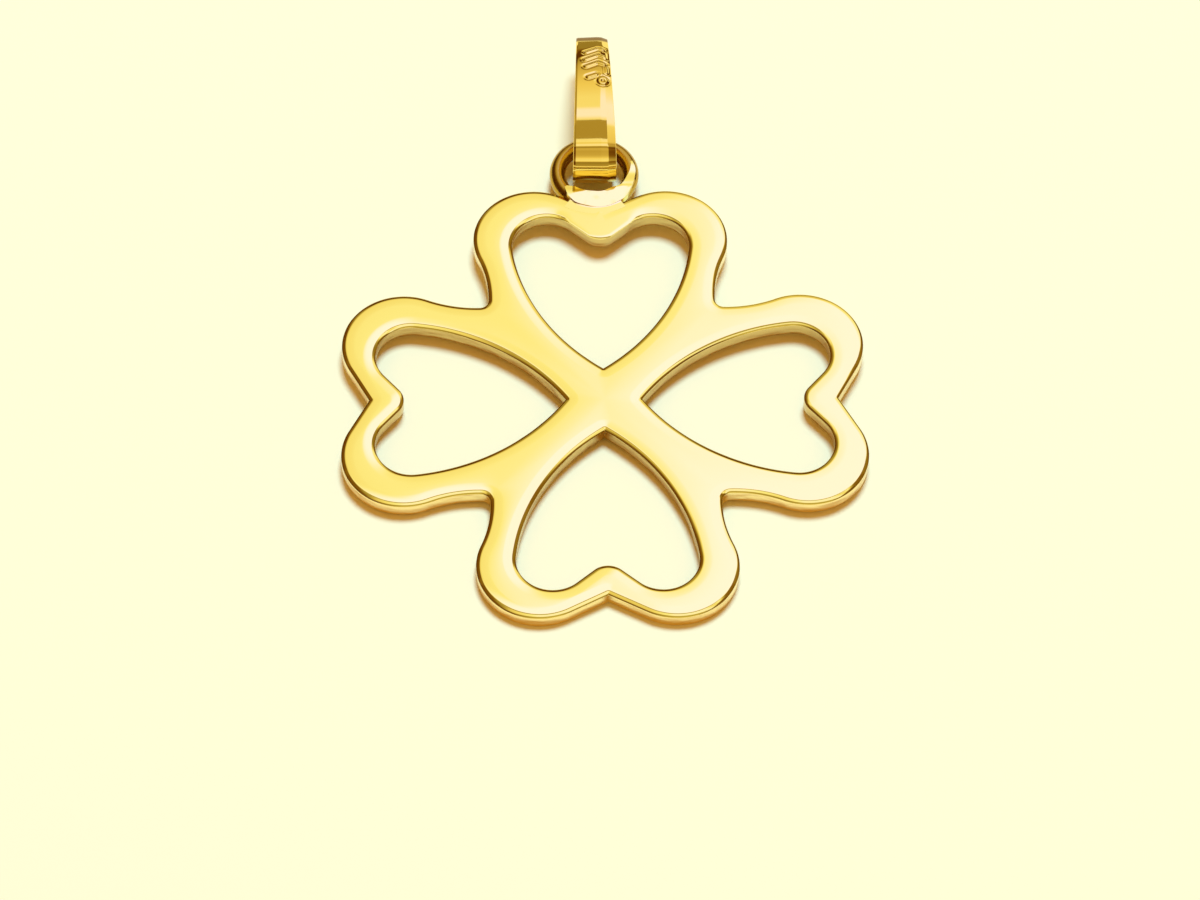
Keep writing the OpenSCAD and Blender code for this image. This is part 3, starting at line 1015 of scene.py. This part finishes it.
def strap_section():
    """Points of the section, finely spaced on the outer face and plain on the inner one."""
    points = []
    for (x0, d0), (x1, d1) in zip(STRAP_SECTION, STRAP_SECTION[1:]):
        for t in np.linspace(0, 1, max(1, math.ceil((x1 - x0) / SECTION_STEP)), endpoint=False):
            points.append((x0 + t * (x1 - x0), d0 + t * (d1 - d0)))
    points += [STRAP_SECTION[-1], (0.5, STRAP_T - INNER_DEPTH), (INNER_HALF, STRAP_T), (0.0, STRAP_T),
               (-INNER_HALF, STRAP_T), (-0.5, STRAP_T - INNER_DEPTH)]
    return [(x, -depth * MM, 0.0) for x, depth in points]


section_line = line_object("strap section", strap_section())
print(f"{len(section_line.data.vertices)} points round the section")

# %% Lay out the punch dents
# From x, y to x, y in mm: x from the strap's middle line, y from the nose's centre along the pendant
PUNCH_BARS = [
    (-0.26, 4.36, 0.12, 4.56), (-0.30, 3.86, 0.10, 4.08), (-0.28, 3.42, 0.08, 3.60),
    (0.22, 4.62, 0.44, 4.54), (0.22, 4.14, 0.46, 4.04), (0.20, 3.66, 0.46, 3.54),
    (0.50, 4.30, 0.52, 3.98), (0.54, 3.36, 0.56, 3.04), (-0.20, 2.78, 0.10, 2.90),
]
DIMPLE_AT, DIMPLE_R, DIMPLE_SIDES = point(0.38, 2.56), 0.15, 12


def on_crown(x, y):
    """The place on the strap's long top curve, in metres."""
    across = crown_centre[1] + math.sqrt(CROWN_R**2 - (nose_y + y - crown_centre[0])**2)
    return ((RING_SIDE + x) * MM, (nose_y + y) * MM, across * MM)


dent_points = [on_crown(*end) for bar in PUNCH_BARS for end in (bar[:2], bar[2:])]
first = len(dent_points)
dent_edges = [(k, k + 1) for k in range(0, first, 2)]
for k in range(DIMPLE_SIDES):
    a = math.tau * k / DIMPLE_SIDES
    dent_points.append(on_crown(*(DIMPLE_AT + DIMPLE_R * point(math.cos(a), math.sin(a)))))
    dent_edges.append((first + k, first + (k + 1) % DIMPLE_SIDES))
dent_lines = line_object("punch dents", dent_points, dent_edges)
print(f"{len(PUNCH_BARS)} bars and a dimple")

# %% Sweep the strap
PUNCH_DEPTH = 0.075
PUNCH_REACH = 0.24

strap_values = dict(Nose_width=STRAP_W_NOSE * MM, Far_width=STRAP_W_FAR * MM, Nose_end=bail_low.y,
                    Far_end=bail_high.y, Middle=RING_SIDE * MM, Punch_depth=PUNCH_DEPTH * MM,
                    Punch_reach=PUNCH_REACH * MM)
tree, given = new_tree("strap bent to a loop", **strap_values, Section="NodeSocketObject",
                       Dents="NodeSocketObject", Material="NodeSocketMaterial")
section_mesh = add(tree, "GeometryNodeObjectInfo", Object=given["Section"]).outputs["Geometry"]
section_curve = add(tree, "GeometryNodeMeshToCurve", Mesh=section_mesh)
loop_curve = add(tree, "GeometryNodeMeshToCurve", Mesh=given["Geometry"])
upright_curve = add(tree, "GeometryNodeSetCurveNormal", {"mode": "FREE"}, Curve=loop_curve, Normal=(1, 0, 0))
swept = add(tree, "GeometryNodeCurveToMesh", Curve=upright_curve, Profile_Curve=section_curve)

place = add(tree, "GeometryNodeInputPosition")
spot = add(tree, "ShaderNodeSeparateXYZ", Vector=place).outputs
width = add(tree, "ShaderNodeMapRange", Value=spot["Y"], From_Min=given["Nose end"],
            From_Max=given["Far end"], To_Min=given["Nose width"], To_Max=given["Far width"])
share = add(tree, "ShaderNodeMath", {"operation": "SUBTRACT"}, i0=spot["X"], i1=given["Middle"])
across = add(tree, "ShaderNodeMath", {"operation": "MULTIPLY_ADD"}, i0=share, i1=width, i2=given["Middle"])
tapered = add(tree, "ShaderNodeCombineXYZ", X=across, Y=spot["Y"], Z=spot["Z"])
strap = add(tree, "GeometryNodeSetPosition", Geometry=swept, Position=tapered)
print(f"strap {STRAP_W_NOSE} mm wide at the nose and {STRAP_W_FAR} mm at its far end")

# %% Strike the dents into it
# How far from a dent's line, as a share of its reach, and how high: a struck line raises a rim beside it
PUNCH_PROFILE = [(0.0, 0.20), (0.15, 0.22), (0.50, 0.78), (0.62, 0.80), (0.85, 0.56), (1.0, 0.50)]
LEVEL = PUNCH_PROFILE[-1][1]

dents = add(tree, "GeometryNodeObjectInfo", Object=given["Dents"]).outputs["Geometry"]
away = add(tree, "GeometryNodeProximity", {"target_element": "EDGES"}, Geometry=dents).outputs["Distance"]
nearness = add(tree, "ShaderNodeMapRange", Value=away, From_Max=given["Punch reach"])
profile = add(tree, "ShaderNodeFloatCurve", Value=nearness)
curve_points = profile.mapping.curves[0].points
curve_points[0].location, curve_points[-1].location = PUNCH_PROFILE[0], PUNCH_PROFILE[-1]
for at, height in PUNCH_PROFILE[1:-1]:
    curve_points.new(at, height)
profile.mapping.update()
rise = add(tree, "ShaderNodeMath", {"operation": "SUBTRACT"}, i0=profile, i1=LEVEL)
rise = add(tree, "ShaderNodeMath", {"operation": "MULTIPLY"}, i0=rise, i1=given["Punch depth"])
strap = add(tree, "GeometryNodeSetPosition", Geometry=strap, Offset=outwards(tree, rise))
end_tree(tree, strap, given["Material"])
bail = grow("bail_gold_strap", loop_line, tree, **strap_values, Section=section_line,
            Dents=dent_lines, Material=bail_gold)
for helper in (loop_line, section_line, dent_lines):
    bpy.data.objects.remove(helper)
print(f"dents {(LEVEL - PUNCH_PROFILE[0][1]) * PUNCH_DEPTH:.3f} mm deep")

# %% Finish the bail
# Where the painted dark reflection on the bail's closed end fades in, in mm from its turn
DEEP_SHADE_FROM, DEEP_SHADE_FULL = -0.30, -0.18
PUNCHED_FROM, PUNCHED_TO, PUNCHED_HALF = 1.9, 4.95, 0.66

far_turn = far_y + FAR_OUT_R * math.cos(crown_from)
# Painted dark reflection: the bail's closed end is made rougher and painted deep brown
set_shares(bail.data, "rough_shade", lambda place: 1.0 if place.y > far_turn else 0.0)
set_shares(bail.data, "deep_shade", lambda place: share_between(place.y - far_turn, DEEP_SHADE_FROM, DEEP_SHADE_FULL))
scene.collection.objects.link(bail)


def is_punched(place):
    """Whether a point lies on top of the strap where the punch has struck it."""
    is_on_top = place.z > far_centre[1] and abs(place.x - RING_SIDE) < PUNCHED_HALF
    return bool(is_on_top and PUNCHED_FROM < place.y - nose_y < PUNCHED_TO)


print("bail:", len(bail.data.polygons), "faces, open edges", finish_mesh(bail.data, BAIL_CREASE, is_punched))
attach(bail, "root")
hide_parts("bail")
